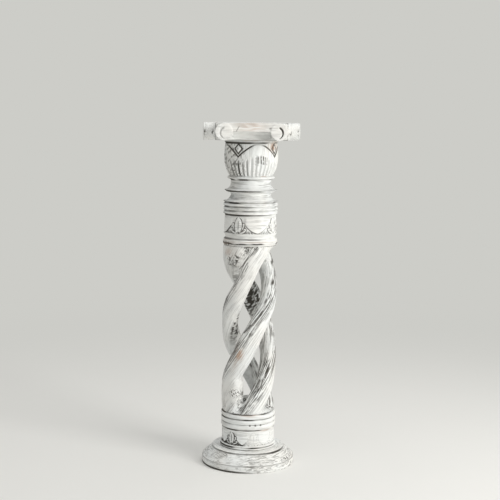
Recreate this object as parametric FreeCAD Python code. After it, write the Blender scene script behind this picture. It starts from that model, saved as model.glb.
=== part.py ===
import FreeCAD, Part

import math
import os

# A carved and whitewashed wooden pedestal column, in millimetres. +Z is up, the origin is the
# middle of the base's underside, and -Y is the front. From the floor up: a turned base disc, a
# thin step disc, a turned foot, a length of open triple twist, a carved head and a square capital
# whose four sides end in pairs of scrolls.

# Base disc
BASE_RADIUS = 135.5
BASE_RIM_HEIGHT = 21.5
BASE_SLOPE_HEIGHT = 26.0
BASE_SLOPE_CROWN = 1.6
BASE_EDGE_ROUND = 2.5

# Step disc, whose thin edge overhangs the top of the base's slope a little
STEP_RADIUS = 105.0
STEP_THICKNESS = 4.0
STEP_SETBACK = 2.0

# Foot: two beads, a frieze and three rings
LOWER_BEAD_RADIUS = 83.0
UPPER_BEAD_RADIUS = 81.5
FOOT_BEAD_HEIGHT = 7.0
LOWER_FRIEZE_RADIUS = 77.5
LOWER_FRIEZE_HEIGHT = 44.5
FOOT_RING_COUNT = 3
FOOT_RING_HEIGHT = 15.6
FOOT_RING_RADIUS = 80.5
FOOT_GROOVE_RADIUS = 75.5

# Open twist: three strands round a hollow, which run into a pointed web at each end
TWIST_LENGTH = 491.2
TWIST_RADIUS = 80.5
TWIST_PITCH = 640.0
STRAND_COUNT = 3
STRAND_WIDTH = 69.0
STRAND_DEPTH = 47.0
STRAND_SHOULDER_IN = 13.6
STRAND_SHOULDER_ACROSS = 25.5
FRONT_CROSSING_HEIGHT = 210.0
STRAND_STATIONS = 15
WEB_RADIUS = 76.5
WEB_COLLAR = 3.0
WEB_TIP_RADIUS = 26.0
WEB_TIP_RISE = 8.0
LOWER_WEB_HEIGHT = 46.0
UPPER_WEB_HEIGHT = 58.0
WEB_HOLLOW = 6.0
SHOULDER_HEIGHT = 14.0
SHOULDER_SWELL = 1.5

# Head: torus, frieze, sharp rings, two necks with an arris between them, bead, bell and rim
TORUS_HEIGHT = 21.0
TORUS_FOOT_RADIUS = 77.0
TORUS_TOP_RADIUS = 74.0
TORUS_SWELL = 4.0
COVE_HEIGHT = 11.0
COVE_DEPTH = 2.5
UPPER_FRIEZE_HEIGHT = 54.0
UPPER_FRIEZE_BOTTOM_RADIUS = 77.5
UPPER_FRIEZE_TOP_RADIUS = 74.5
HEAD_RING_COUNT = 4
HEAD_RING_HEIGHT = 11.7
HEAD_RING_RADIUS = 79.5
NECK_RADIUS = 58.5
LOWER_FLARE_HEIGHT = 17.25
LOWER_NECK_HEIGHT = 6.5
ARRIS_UNDERCUT = 8.0
ARRIS_RADIUS = 76.5
UPPER_FLARE_HEIGHT = 18.0
UPPER_NECK_HEIGHT = 14.0
FLARE_HOLLOW = 4.5
HEAD_BEAD_RADIUS = 68.5
HEAD_BEAD_HEIGHT = 8.5
BELL_FOOT_RADIUS = 62.5
BELL_RADIUS = 78.0
BELL_BOWL_HEIGHT = 48.0
BELL_BOWL_CROWN = 3.2
BELL_WALL_HEIGHT = 47.8
BELL_TOP_RADIUS = 76.5
RIM_RADIUS = 77.5
RIM_HEIGHT = 8.0
RIM_GROOVE_DEPTH = 2.5
RIM_GROOVE_HEIGHT = 2.0
FLUTE_COUNT = 36
FLUTE_RADIUS = 4.6
FLUTE_DEPTH = 2.2
CARVING_TURN = 15.6

# Capital: a square core with a scroll block on each side
CORE_WIDTH = 203.0
SCROLL_DEPTH = 34.5
CAPITAL_HEIGHT = 49.0
BAND_HEIGHT = 24.5
VOLUTE_DIAMETER = 49.0
EYE_RADIUS = 15.0
EYE_INWARD = 7.5
EYE_DROP = 4.5
VOLUTE_TURN_RADIUS = 17.8
VOLUTE_TURN_INWARD = 5.5
VOLUTE_TURN_DROP = 2.5
VOLUTE_GROOVE_DEPTH = 3.0
CORE_COVE_RADIUS = 16.0
CORE_COVE_DEPTH = 5.0
CORE_LIP_HEIGHT = 4.0

# Joints: turned tenons on the foot and the head, dowels in the capital, screws under the base
LOWER_TENON_RADIUS = 26.0
LOWER_TENON_BITE = 30.0
TWIST_TENON_RADIUS = 17.0
TWIST_TENON_LENGTH = 30.0
CAPITAL_TENON_RADIUS = 25.0
CAPITAL_TENON_LENGTH = 28.0
TENON_CLEARANCE = 0.15
MORTISE_END_GAP = 0.4
DOWEL_RADIUS = 5.0
DOWEL_BITE = 20.0
DOWEL_OFFSET = 60.0
DOWEL_CLEARANCE = 0.05
SCREW_COUNT = 4
SCREW_CIRCLE_RADIUS = 52.0
SCREW_RADIUS = 2.5
SCREW_LENGTH = 80.0
SCREW_POINT_LENGTH = 6.0
SCREW_HEAD_RADIUS = 5.0
SCREW_HEAD_HEIGHT = 3.2
SCREW_SINK = 2.0
SCREW_CLEARANCE = 0.1

# Heights of the joints, stacked from the floor
STEP_Z = BASE_RIM_HEIGHT + BASE_SLOPE_HEIGHT
FOOT_Z = STEP_Z + STEP_THICKNESS
FOOT_HEIGHT = 2 * FOOT_BEAD_HEIGHT + LOWER_FRIEZE_HEIGHT + FOOT_RING_COUNT * FOOT_RING_HEIGHT
TWIST_Z = FOOT_Z + FOOT_HEIGHT
HEAD_Z = TWIST_Z + TWIST_LENGTH
BELL_Z = (
    HEAD_Z
    + TORUS_HEIGHT
    + COVE_HEIGHT
    + UPPER_FRIEZE_HEIGHT
    + (HEAD_RING_COUNT - 0.5) * HEAD_RING_HEIGHT
    + LOWER_FLARE_HEIGHT
    + LOWER_NECK_HEIGHT
    + ARRIS_UNDERCUT
    + UPPER_FLARE_HEIGHT
    + UPPER_NECK_HEIGHT
    + HEAD_BEAD_HEIGHT
)
CAPITAL_Z = BELL_Z + BELL_BOWL_HEIGHT + BELL_WALL_HEIGHT + RIM_HEIGHT
TOP_Z = CAPITAL_Z + CAPITAL_HEIGHT

# Planes of the front scroll block: its face, and its joint with the core
FRONT_FACE_Y = -CORE_WIDTH / 2 - SCROLL_DEPTH
FRONT_JOINT_Y = -CORE_WIDTH / 2

FRONT_ANGLE = -90.0
LEAST_STRETCH = 0.001
LEAST_SKIN = 0.4
UP = FreeCAD.Vector(0, 0, 1)
ORIGIN = FreeCAD.Vector(0, 0, 0)


class Outline:
    """Half of a turned outline, from radius and height, which closes along the axis."""

    def __init__(self, radius, height):
        self.edges = []
        self.at = FreeCAD.Vector(0, 0, height)
        if radius > 0:
            self.to(radius, height)

    def to(self, radius, height, swell=0.0):
        """Goes on to a point. The middle of the stretch stands out from the chord by swell."""
        end = FreeCAD.Vector(radius, 0, height)
        chord = end - self.at
        if chord.Length < LEAST_STRETCH:
            return
        if swell:
            outward = FreeCAD.Vector(chord.z, 0, -chord.x).normalize()
            middle = self.at + chord * 0.5 + outward * swell
            self.edges.append(Part.Arc(self.at, middle, end).toShape())
        else:
            self.edges.append(Part.LineSegment(self.at, end).toShape())
        self.at = end

    def up(self, height, swell=0.0, radius=None):
        """Goes up by a height, to a new radius if one is given."""
        new_radius = self.at.x if radius is None else radius
        self.to(new_radius, self.at.z + height, swell)

    def turned(self):
        """The solid that the outline sweeps in one turn."""
        start = self.edges[0].Vertexes[0].Point
        if self.at.x > 0:
            self.to(0, self.at.z)
        self.edges.append(Part.LineSegment(self.at, start).toShape())
        face = Part.Face(Part.Wire(self.edges))
        return face.revolve(ORIGIN, UP, 360)


def cylinder(radius, height, bottom):
    """An upright cylinder on the axis."""
    return Part.makeCylinder(radius, height, FreeCAD.Vector(0, 0, bottom))


def around(shape, count, start=0.0):
    """Copies of a shape, spaced evenly round the axis."""
    copies = []
    for index in range(count):
        copy = shape.copy()
        copy.rotate(ORIGIN, UP, start + 360.0 * index / count)
        copies.append(copy)
    return copies


def mortise(tenon_radius, tenon_length, mouth, direction):
    """The hole for a tenon, a little wider and deeper than it. It goes up or down from its mouth."""
    depth = tenon_length + MORTISE_END_GAP
    bottom = mouth if direction > 0 else mouth - depth
    return cylinder(tenon_radius + TENON_CLEARANCE, depth, bottom)


def one_solid(shape):
    """The single solid inside a shape that a cut or a fuse leaves."""
    clean = shape.removeSplitter()
    return clean.Solids[0] if len(clean.Solids) == 1 else clean


# Base


def screw():
    """A countersunk wood screw, head down, on the axis at the height where it sits in the base."""
    outline = Outline(SCREW_HEAD_RADIUS, SCREW_SINK)
    outline.up(SCREW_HEAD_HEIGHT, radius=SCREW_RADIUS)
    outline.up(SCREW_LENGTH - SCREW_HEAD_HEIGHT - SCREW_POINT_LENGTH)
    outline.up(SCREW_POINT_LENGTH, radius=0)
    return outline.turned()


def screw_holes():
    """The holes for the screws: a countersink that opens downwards, and a pilot hole."""
    head_radius = SCREW_HEAD_RADIUS + SCREW_CLEARANCE
    shank_radius = SCREW_RADIUS + SCREW_CLEARANCE
    outline = Outline(head_radius, 0)
    outline.up(SCREW_SINK)
    outline.up(SCREW_HEAD_HEIGHT, radius=shank_radius)
    outline.up(SCREW_LENGTH - SCREW_HEAD_HEIGHT + MORTISE_END_GAP)
    return on_screw_circle(outline.turned())


def on_screw_circle(shape):
    """Copies of a shape at the screws' places."""
    moved = shape.copy()
    moved.translate(FreeCAD.Vector(SCREW_CIRCLE_RADIUS, 0, 0))
    return around(moved, SCREW_COUNT, 180.0 / SCREW_COUNT)


def make_base_screws():
    return Part.makeCompound(on_screw_circle(screw()))


def make_base_disc():
    """The disc that stands on the floor: an upright rim, then a slope up to the step disc."""
    outline = Outline(BASE_RADIUS - BASE_EDGE_ROUND, 0)
    outline.to(BASE_RADIUS, BASE_EDGE_ROUND, BASE_EDGE_ROUND * (1 - math.sqrt(0.5)))
    outline.to(BASE_RADIUS, BASE_RIM_HEIGHT - BASE_EDGE_ROUND)
    outline.to(BASE_RADIUS - BASE_EDGE_ROUND, BASE_RIM_HEIGHT, BASE_EDGE_ROUND * (1 - math.sqrt(0.5)))
    outline.to(STEP_RADIUS - STEP_SETBACK, STEP_Z, BASE_SLOPE_CROWN)
    tenon_hole = mortise(LOWER_TENON_RADIUS, LOWER_TENON_BITE, STEP_Z, -1)
    return one_solid(outline.turned().cut([tenon_hole, *screw_holes()]))


def make_step_disc():
    """The thin disc between the base and the foot, with a half round edge."""
    outline = Outline(STEP_RADIUS - STEP_THICKNESS / 2, STEP_Z)
    outline.up(STEP_THICKNESS, STEP_THICKNESS / 2)
    tenon_hole = cylinder(LOWER_TENON_RADIUS + TENON_CLEARANCE, STEP_THICKNESS, STEP_Z)
    return one_solid(outline.turned().cut([tenon_hole, *screw_holes()]))


# Foot


def make_foot_drum():
    """The turned foot, with a tenon down through the step disc and one up into the twist."""
    tenon_length = STEP_THICKNESS + LOWER_TENON_BITE
    outline = Outline(LOWER_TENON_RADIUS, FOOT_Z - tenon_length)
    outline.up(tenon_length)
    for bead_radius in (LOWER_BEAD_RADIUS, UPPER_BEAD_RADIUS):
        outline.to(bead_radius - FOOT_BEAD_HEIGHT / 2, outline.at.z)
        outline.up(FOOT_BEAD_HEIGHT, FOOT_BEAD_HEIGHT / 2)
    outline.to(LOWER_FRIEZE_RADIUS, outline.at.z)
    outline.up(LOWER_FRIEZE_HEIGHT)
    outline.to(FOOT_GROOVE_RADIUS, outline.at.z)
    for _ in range(FOOT_RING_COUNT):
        outline.up(FOOT_RING_HEIGHT, FOOT_RING_RADIUS - FOOT_GROOVE_RADIUS)
    outline.to(TWIST_TENON_RADIUS, TWIST_Z)
    outline.up(TWIST_TENON_LENGTH)
    return one_solid(outline.turned().cut(screw_holes()))


# Open twist


def strand_section(height):
    """A strand's outline in a level plane, at a height above the twist's foot: four arcs."""
    middle = TWIST_RADIUS - STRAND_DEPTH / 2
    places = [
        (middle + STRAND_SHOULDER_IN, -STRAND_SHOULDER_ACROSS),
        (TWIST_RADIUS, 0),
        (middle + STRAND_SHOULDER_IN, STRAND_SHOULDER_ACROSS),
        (middle, STRAND_WIDTH / 2),
        (middle - STRAND_SHOULDER_IN, STRAND_SHOULDER_ACROSS),
        (TWIST_RADIUS - STRAND_DEPTH, 0),
        (middle - STRAND_SHOULDER_IN, -STRAND_SHOULDER_ACROSS),
        (middle, -STRAND_WIDTH / 2),
    ]
    corners = [FreeCAD.Vector(x, y, TWIST_Z + height) for x, y in places]
    edges = []
    for index in range(0, len(corners), 2):
        end = corners[(index + 2) % len(corners)]
        edges.append(Part.Arc(corners[index], corners[index + 1], end).toShape())
    wire = Part.Wire(edges)
    turn = 360.0 * (height - FRONT_CROSSING_HEIGHT) / TWIST_PITCH
    wire.rotate(ORIGIN, UP, FRONT_ANGLE + turn)
    return wire


def make_strand():
    """One strand of the twist, lofted through level sections from end to end."""
    step = TWIST_LENGTH / (STRAND_STATIONS - 1)
    sections = [strand_section(step * index) for index in range(STRAND_STATIONS)]
    return Part.makeLoft(sections, True, False)


def dome_swell(radius, rise):
    """How far an arc from a dome's edge to its top swells, with its centre on the axis."""
    sphere_radius = (radius ** 2 + rise ** 2) / (2 * rise)
    half_chord = math.hypot(radius, rise) / 2
    return sphere_radius - math.sqrt(sphere_radius ** 2 - half_chord ** 2)


def web(mouth, height, direction):
    """The wood left between the strands at one end: a hollow-sided cone with a domed tip."""
    outline = Outline(WEB_RADIUS, 0)
    outline.up(WEB_COLLAR)
    outline.to(WEB_TIP_RADIUS, height - WEB_TIP_RISE, -WEB_HOLLOW)
    outline.to(0, height, dome_swell(WEB_TIP_RADIUS, WEB_TIP_RISE))
    cone = outline.turned()
    if direction < 0:
        cone.rotate(ORIGIN, FreeCAD.Vector(1, 0, 0), 180)
    cone.translate(FreeCAD.Vector(0, 0, mouth))
    return cone


def twist_envelope():
    """The turned blank that the strands are carved from, drawn in to a shoulder at each end."""
    outline = Outline(WEB_RADIUS, TWIST_Z)
    outline.up(SHOULDER_HEIGHT, SHOULDER_SWELL, TWIST_RADIUS + LEAST_SKIN)
    outline.up(TWIST_LENGTH - 2 * SHOULDER_HEIGHT)
    outline.up(SHOULDER_HEIGHT, SHOULDER_SWELL, WEB_RADIUS)
    return outline.turned()


def make_open_twist():
    """The length of open triple twist, carved from one piece, with a mortise in each end."""
    lower_web = web(TWIST_Z, LOWER_WEB_HEIGHT, 1)
    upper_web = web(HEAD_Z, UPPER_WEB_HEIGHT, -1)
    strands = around(make_strand().common(twist_envelope()), STRAND_COUNT)
    body = lower_web.fuse([*strands, upper_web])
    lower_hole = mortise(TWIST_TENON_RADIUS, TWIST_TENON_LENGTH, TWIST_Z, 1)
    upper_hole = mortise(TWIST_TENON_RADIUS, TWIST_TENON_LENGTH, HEAD_Z, -1)
    return one_solid(body.cut([lower_hole, upper_hole]))


# Head


def head_outline():
    """The head's turned outline, from the tenon in the twist to the tenon in the capital."""
    outline = Outline(TWIST_TENON_RADIUS, HEAD_Z - TWIST_TENON_LENGTH)
    outline.up(TWIST_TENON_LENGTH)
    outline.to(TORUS_FOOT_RADIUS, HEAD_Z)
    outline.up(TORUS_HEIGHT, TORUS_SWELL, TORUS_TOP_RADIUS)
    outline.up(COVE_HEIGHT, -COVE_DEPTH, UPPER_FRIEZE_BOTTOM_RADIUS)
    outline.up(UPPER_FRIEZE_HEIGHT, radius=UPPER_FRIEZE_TOP_RADIUS)
    for _ in range(HEAD_RING_COUNT - 1):
        outline.up(HEAD_RING_HEIGHT, HEAD_RING_RADIUS - UPPER_FRIEZE_TOP_RADIUS)
    outline.up(HEAD_RING_HEIGHT / 2, radius=HEAD_RING_RADIUS)
    outline.up(LOWER_FLARE_HEIGHT, -FLARE_HOLLOW, NECK_RADIUS)
    outline.up(LOWER_NECK_HEIGHT)
    outline.up(ARRIS_UNDERCUT, radius=ARRIS_RADIUS)
    outline.up(UPPER_FLARE_HEIGHT, -FLARE_HOLLOW, NECK_RADIUS)
    outline.up(UPPER_NECK_HEIGHT)
    bead_swell = HEAD_BEAD_HEIGHT / 2
    outline.to(HEAD_BEAD_RADIUS - bead_swell, outline.at.z)
    outline.up(HEAD_BEAD_HEIGHT, bead_swell)
    outline.to(BELL_FOOT_RADIUS, BELL_Z)
    outline.up(BELL_BOWL_HEIGHT, BELL_BOWL_CROWN, BELL_RADIUS)
    outline.up(BELL_WALL_HEIGHT - RIM_GROOVE_HEIGHT, radius=BELL_TOP_RADIUS)
    outline.to(RIM_RADIUS - RIM_GROOVE_DEPTH, outline.at.z)
    outline.up(RIM_GROOVE_HEIGHT)
    outline.to(RIM_RADIUS, outline.at.z)
    outline.up(RIM_HEIGHT)
    outline.to(CAPITAL_TENON_RADIUS, CAPITAL_Z)
    outline.up(CAPITAL_TENON_LENGTH)
    return outline


def flute_cutter():
    """A bent round bar that follows the bell's bowl and cuts a flute which fades out at its top."""
    lift = FLUTE_RADIUS - FLUTE_DEPTH
    foot = FreeCAD.Vector(BELL_FOOT_RADIUS + lift, 0, BELL_Z)
    top = FreeCAD.Vector(BELL_RADIUS + FLUTE_RADIUS, 0, BELL_Z + BELL_BOWL_HEIGHT)
    chord = top - foot
    outward = FreeCAD.Vector(chord.z, 0, -chord.x).normalize()
    middle = foot + chord * 0.5 + outward * BELL_BOWL_CROWN
    path = Part.Wire([Part.Arc(foot, middle, top).toShape()])
    tangent = path.Edges[0].tangentAt(path.Edges[0].FirstParameter)
    circle = Part.Circle(foot, tangent, FLUTE_RADIUS).toShape()
    return path.makePipeShell([Part.Wire([circle])], True, True)


def make_carved_head():
    """The turned head, with flutes round the lower half of its bell."""
    flutes = around(flute_cutter(), FLUTE_COUNT, CARVING_TURN)
    return one_solid(head_outline().turned().cut(flutes))


# Capital


def dowel(clearance):
    """A dowel, or its hole, across the front joint between the core and a scroll block."""
    length = 2 * (DOWEL_BITE + clearance)
    middle_z = CAPITAL_Z + CAPITAL_HEIGHT / 2
    start = FreeCAD.Vector(DOWEL_OFFSET, FRONT_JOINT_Y - length / 2, middle_z)
    return Part.makeCylinder(DOWEL_RADIUS + clearance, length, start, FreeCAD.Vector(0, 1, 0))


def front_dowels(clearance=0.0):
    """The pair of dowels, or their holes, behind the front scroll block."""
    right = dowel(clearance)
    left = right.mirror(ORIGIN, FreeCAD.Vector(1, 0, 0))
    return [left, right]


def all_dowels(clearance=0.0):
    """The dowels, or their holes, on the four sides of the core."""
    return [copy for one in front_dowels(clearance) for copy in around(one, 4)]


def make_scroll_dowels():
    return Part.makeCompound(all_dowels())


def core_cove():
    """A long round cutter that hollows the core's front face above its lower lip."""
    middle_z = CAPITAL_Z + CORE_LIP_HEIGHT + math.sqrt(
        CORE_COVE_RADIUS ** 2 - (CORE_COVE_RADIUS - CORE_COVE_DEPTH) ** 2
    )
    length = CORE_WIDTH - 2 * VOLUTE_DIAMETER
    start = FreeCAD.Vector(-length / 2, FRONT_JOINT_Y - CORE_COVE_RADIUS + CORE_COVE_DEPTH, middle_z)
    return Part.makeCylinder(CORE_COVE_RADIUS, length, start, FreeCAD.Vector(1, 0, 0))


def make_capital_core():
    """The square board in the middle of the capital, coved under each side's band."""
    corner = FreeCAD.Vector(-CORE_WIDTH / 2, -CORE_WIDTH / 2, CAPITAL_Z)
    board = Part.makeBox(CORE_WIDTH, CORE_WIDTH, CAPITAL_HEIGHT, corner)
    tenon_hole = mortise(CAPITAL_TENON_RADIUS, CAPITAL_TENON_LENGTH, CAPITAL_Z, 1)
    coves = around(core_cove(), 4)
    return one_solid(board.cut([tenon_hole, *coves, *all_dowels(DOWEL_CLEARANCE)]))


def disc_along_y(centre_x, centre_z, radius, front, back):
    """A disc that faces the front, from one Y to another."""
    start = FreeCAD.Vector(centre_x, front, centre_z)
    return Part.makeCylinder(radius, back - front, start, FreeCAD.Vector(0, 1, 0))


def volute_groove():
    """The crescent cut round the right-hand volute's eye, which reads as the scroll's last turn."""
    back = FRONT_FACE_Y + VOLUTE_GROOVE_DEPTH
    volute_x = (CORE_WIDTH - VOLUTE_DIAMETER) / 2
    volute_z = CAPITAL_Z + CAPITAL_HEIGHT / 2
    turn_x = volute_x - VOLUTE_TURN_INWARD
    turn_z = volute_z - VOLUTE_TURN_DROP
    turn = disc_along_y(turn_x, turn_z, VOLUTE_TURN_RADIUS, FRONT_FACE_Y, back)
    eye_x = volute_x - EYE_INWARD
    eye_z = volute_z - EYE_DROP
    return turn.cut(disc_along_y(eye_x, eye_z, EYE_RADIUS, FRONT_FACE_Y, back))


def front_scroll():
    """The front scroll block: two volutes joined by a band, with open space under the band."""
    volute_x = (CORE_WIDTH - VOLUTE_DIAMETER) / 2
    volute_z = CAPITAL_Z + CAPITAL_HEIGHT / 2
    band_corner = FreeCAD.Vector(-volute_x, FRONT_FACE_Y, TOP_Z - BAND_HEIGHT)
    band = Part.makeBox(2 * volute_x, SCROLL_DEPTH, BAND_HEIGHT, band_corner)
    volute_radius = VOLUTE_DIAMETER / 2
    volutes = [
        disc_along_y(side * volute_x, volute_z, volute_radius, FRONT_FACE_Y, FRONT_JOINT_Y)
        for side in (-1, 1)
    ]
    groove = volute_groove()
    grooves = [groove, groove.mirror(ORIGIN, FreeCAD.Vector(1, 0, 0))]
    return band.fuse(volutes).cut([*grooves, *front_dowels(DOWEL_CLEARANCE)])


def make_scrolls():
    """The four scroll blocks by name, each turned to its side of the core."""
    names = ["scroll_front", "scroll_right", "scroll_back", "scroll_left"]
    blocks = around(one_solid(front_scroll()), len(names))
    return dict(zip(names, blocks))


def make_parts():
    """Every piece by name."""
    parts = {
        "base_disc": make_base_disc(),
        "step_disc": make_step_disc(),
        "base_screws": make_base_screws(),
        "foot_drum": make_foot_drum(),
        "open_twist": make_open_twist(),
        "carved_head": make_carved_head(),
        "capital_core": make_capital_core(),
        "scroll_dowels": make_scroll_dowels(),
    }
    parts.update(make_scrolls())
    return parts


def main():
    os.makedirs("parts", exist_ok=True)
    for name, shape in make_parts().items():
        shape.exportStep(f"parts/{name}.step")
        print(name, "valid", shape.isValid(), "solids", len(shape.Solids), "volume", round(shape.Volume))
    print("height", TOP_Z)


main()
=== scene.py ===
import functools
import math

import bpy
import numpy as np
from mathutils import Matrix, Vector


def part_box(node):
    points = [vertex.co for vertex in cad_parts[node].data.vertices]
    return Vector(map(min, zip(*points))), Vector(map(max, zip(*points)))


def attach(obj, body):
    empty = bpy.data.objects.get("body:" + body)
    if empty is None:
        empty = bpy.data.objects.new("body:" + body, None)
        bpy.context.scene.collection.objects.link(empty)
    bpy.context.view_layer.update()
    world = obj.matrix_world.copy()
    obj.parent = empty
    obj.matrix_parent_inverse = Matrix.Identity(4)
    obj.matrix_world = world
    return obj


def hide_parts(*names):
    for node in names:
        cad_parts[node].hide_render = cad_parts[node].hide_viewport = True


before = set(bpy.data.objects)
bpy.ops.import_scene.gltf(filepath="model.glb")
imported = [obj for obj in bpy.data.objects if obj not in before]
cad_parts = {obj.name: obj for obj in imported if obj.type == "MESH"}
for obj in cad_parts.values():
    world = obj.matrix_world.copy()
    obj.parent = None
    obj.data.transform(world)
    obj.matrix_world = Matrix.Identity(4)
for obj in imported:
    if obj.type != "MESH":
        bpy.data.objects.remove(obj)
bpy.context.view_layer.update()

import openvdb
from mathutils import Vector

# The whitewashed column: its carved surfaces, finish, light and camera. Shapes are worked out in
# millimetres and written to Blender in metres. Angles round the column are in degrees, with 0 at
# the front (-Y) and 90 at the right (+X).

MM = 0.001
SEED = 11

# Heights of the joints and widths, from the frame
BASE_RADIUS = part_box("base_disc")[1].x / MM
STEP_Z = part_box("step_disc")[0].z / MM
STEP_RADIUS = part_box("step_disc")[1].x / MM
FOOT_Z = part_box("step_disc")[1].z / MM
TWIST_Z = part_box("open_twist")[0].z / MM
HEAD_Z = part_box("open_twist")[1].z / MM
CAPITAL_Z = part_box("capital_core")[0].z / MM
TOP_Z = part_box("capital_core")[1].z / MM
CORE_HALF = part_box("capital_core")[1].x / MM
CAPITAL_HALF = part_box("scroll_right")[1].x / MM

# Mesh columns round a turned piece, and the radius beyond which its face shows
COLUMNS = 600
FACE_RADIUS = 70.0

# Smoothing steps that find narrow grooves and wide valleys in a mesh
GROOVE_STEPS = 3
VALLEY_STEPS = 30

# Step, in millimetres, along the finest stretches of an outline
FINE_STEP = 0.6


# Numbers and shapes


def smoothstep(value, low, high):
    """0 below low, 1 above high, and a smooth rise between."""
    t = np.clip((value - low) / (high - low), 0, 1)
    return t * t * (3 - 2 * t)


def wrapped(angle, period):
    """An angle's distance from the nearest multiple of a period, from -period/2 to period/2."""
    return (angle + period / 2) % period - period / 2


def line(distance, width):
    """The strength, 0 to 1, of a soft line at a distance from its middle."""
    return np.exp(-((distance / (width / 2)) ** 2))


def stroke(distance, width):
    """The strength, 0 to 1, of a line of even strength with soft edges."""
    return 1 - smoothstep(np.abs(distance), width / 2 - 0.7, width / 2 + 0.7)


def near(value, middle, reach):
    """1 at the middle, fading softly on both sides, to 0.37 at the reach."""
    return np.exp(-(((value - middle) / reach) ** 2))


def darkest(*inks):
    """The strongest of several inks at each point."""
    return functools.reduce(np.maximum, inks)


def flat(phi, radius):
    """The x and y of points at an angle round the column."""
    turn = np.radians(phi)
    return radius * np.sin(turn), -radius * np.cos(turn)


def wobble(*coordinates, size, seed):
    """A soft random field, about -1 to 1, made of waves about as long as size."""
    random = np.random.default_rng(SEED + seed)
    total = 0
    count = 9
    for _ in range(count):
        wave = random.normal(size=len(coordinates))
        wave *= 2 * math.pi / (size * np.linalg.norm(wave)) * random.uniform(0.6, 1.5)
        phase = random.uniform(0, 2 * math.pi)
        total = total + np.sin(sum(w * c for w, c in zip(wave, coordinates)) + phase)
    return total / math.sqrt(count)


def round_wobble(phi, waves, seed):
    """A soft random field round the column, about -1 to 1, with about so many waves in a turn."""
    turn = np.radians(phi)
    reach = waves / 6.0
    return wobble(reach * np.cos(turn), reach * np.sin(turn), size=1.0, seed=seed)


def smooth_min(a, b, blend):
    """The lesser of two distances, with a fillet of about blend where they meet."""
    h = np.clip(0.5 + 0.5 * (b - a) / blend, 0, 1)
    return b * (1 - h) + a * h - blend * h * (1 - h)


def smooth_max(a, b, blend):
    return -smooth_min(-a, -b, blend)


class Outline:
    """A turned outline of radii and heights, sampled at even steps for a mesh."""

    def __init__(self, radius, height):
        self.points = [(radius, height)]

    def to(self, radius, height, step=FINE_STEP, swell=0.0):
        """Goes on to a point. The middle of the stretch stands out from the chord by swell."""
        r0, z0 = self.points[-1]
        length = math.hypot(radius - r0, height - z0)
        count = max(1, round(length / step))
        out_r, out_z = (height - z0) / length, -(radius - r0) / length
        for index in range(1, count + 1):
            t = index / count
            lift = self.arc_lift(t, length, swell)
            r = r0 + (radius - r0) * t + out_r * lift
            self.points.append((r, z0 + (height - z0) * t + out_z * lift))

    @staticmethod
    def arc_lift(t, length, swell):
        """The height above its chord of a circle's arc, at a share t of the way along it."""
        if swell == 0:
            return 0.0
        circle = (length ** 2 / 4 + swell ** 2) / (2 * abs(swell))
        x = (t - 0.5) * length
        return math.copysign(math.sqrt(max(circle ** 2 - x ** 2, 0)) - (circle - abs(swell)), swell)

    def up(self, height, step=FINE_STEP, swell=0.0, radius=None):
        r0, z0 = self.points[-1]
        self.to(r0 if radius is None else radius, z0 + height, step, swell)


# Meshes


def placed(name, data):
    """A new object in the scene."""
    obj = bpy.data.objects.new(name, data)
    bpy.context.scene.collection.objects.link(obj)
    return obj


def new_object(name, points, faces, grain, ink, rubbed):
    """A smooth-shaded mesh object in metres, with the marks that the finish reads."""
    mesh = bpy.data.meshes.new(name)
    mesh.from_pydata((np.asarray(points) * MM).tolist(), [], faces)
    mesh.validate()
    mesh.update()
    mesh.shade_smooth()
    write_mark(mesh, "grain", grain, "FLOAT_VECTOR")
    write_mark(mesh, "ink", np.clip(ink, 0, 1))
    write_mark(mesh, "rubbed", np.clip(rubbed, 0, 1))
    write_mark(mesh, "hollow", hollows(mesh, GROOVE_STEPS))
    write_mark(mesh, "valley", hollows(mesh, VALLEY_STEPS))
    return placed(name, mesh)


def write_mark(mesh, name, values, kind="FLOAT"):
    attribute = mesh.attributes.new(name, kind, "POINT")
    field = "vector" if kind == "FLOAT_VECTOR" else "value"
    attribute.data.foreach_set(field, np.asarray(values, np.float32).ravel())


def read(items, field, width, kind=np.float32):
    """A field of all items in one of a mesh's lists, as rows of a width."""
    values = np.zeros(len(items) * width, kind)
    items.foreach_get(field, values)
    return values.reshape(-1, width)


def vertices(mesh):
    """A mesh's vertices in millimetres."""
    return read(mesh.vertices, "co", 3).astype(float) / MM


def hollows(mesh, steps):
    """How far each point lies below its smoothed surroundings, in millimetres. Crests are negative."""
    points = vertices(mesh)
    count = len(points)
    normals = read(mesh.vertices, "normal", 3)
    ends = read(mesh.edges, "vertices", 2, np.int32)
    starts = np.concatenate([ends[:, 0], ends[:, 1]])
    others = np.concatenate([ends[:, 1], ends[:, 0]])
    degree = np.maximum(np.bincount(starts, minlength=count), 1)[:, None]
    smoothed = points.copy()
    for _ in range(steps):
        sums = [np.bincount(starts, smoothed[others, axis], minlength=count) for axis in range(3)]
        smoothed = 0.5 * smoothed + 0.5 * np.stack(sums, axis=1) / degree
    return np.einsum("ij,ij->i", smoothed - points, normals)


def unworn(points):
    return np.zeros(len(points))


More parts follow.
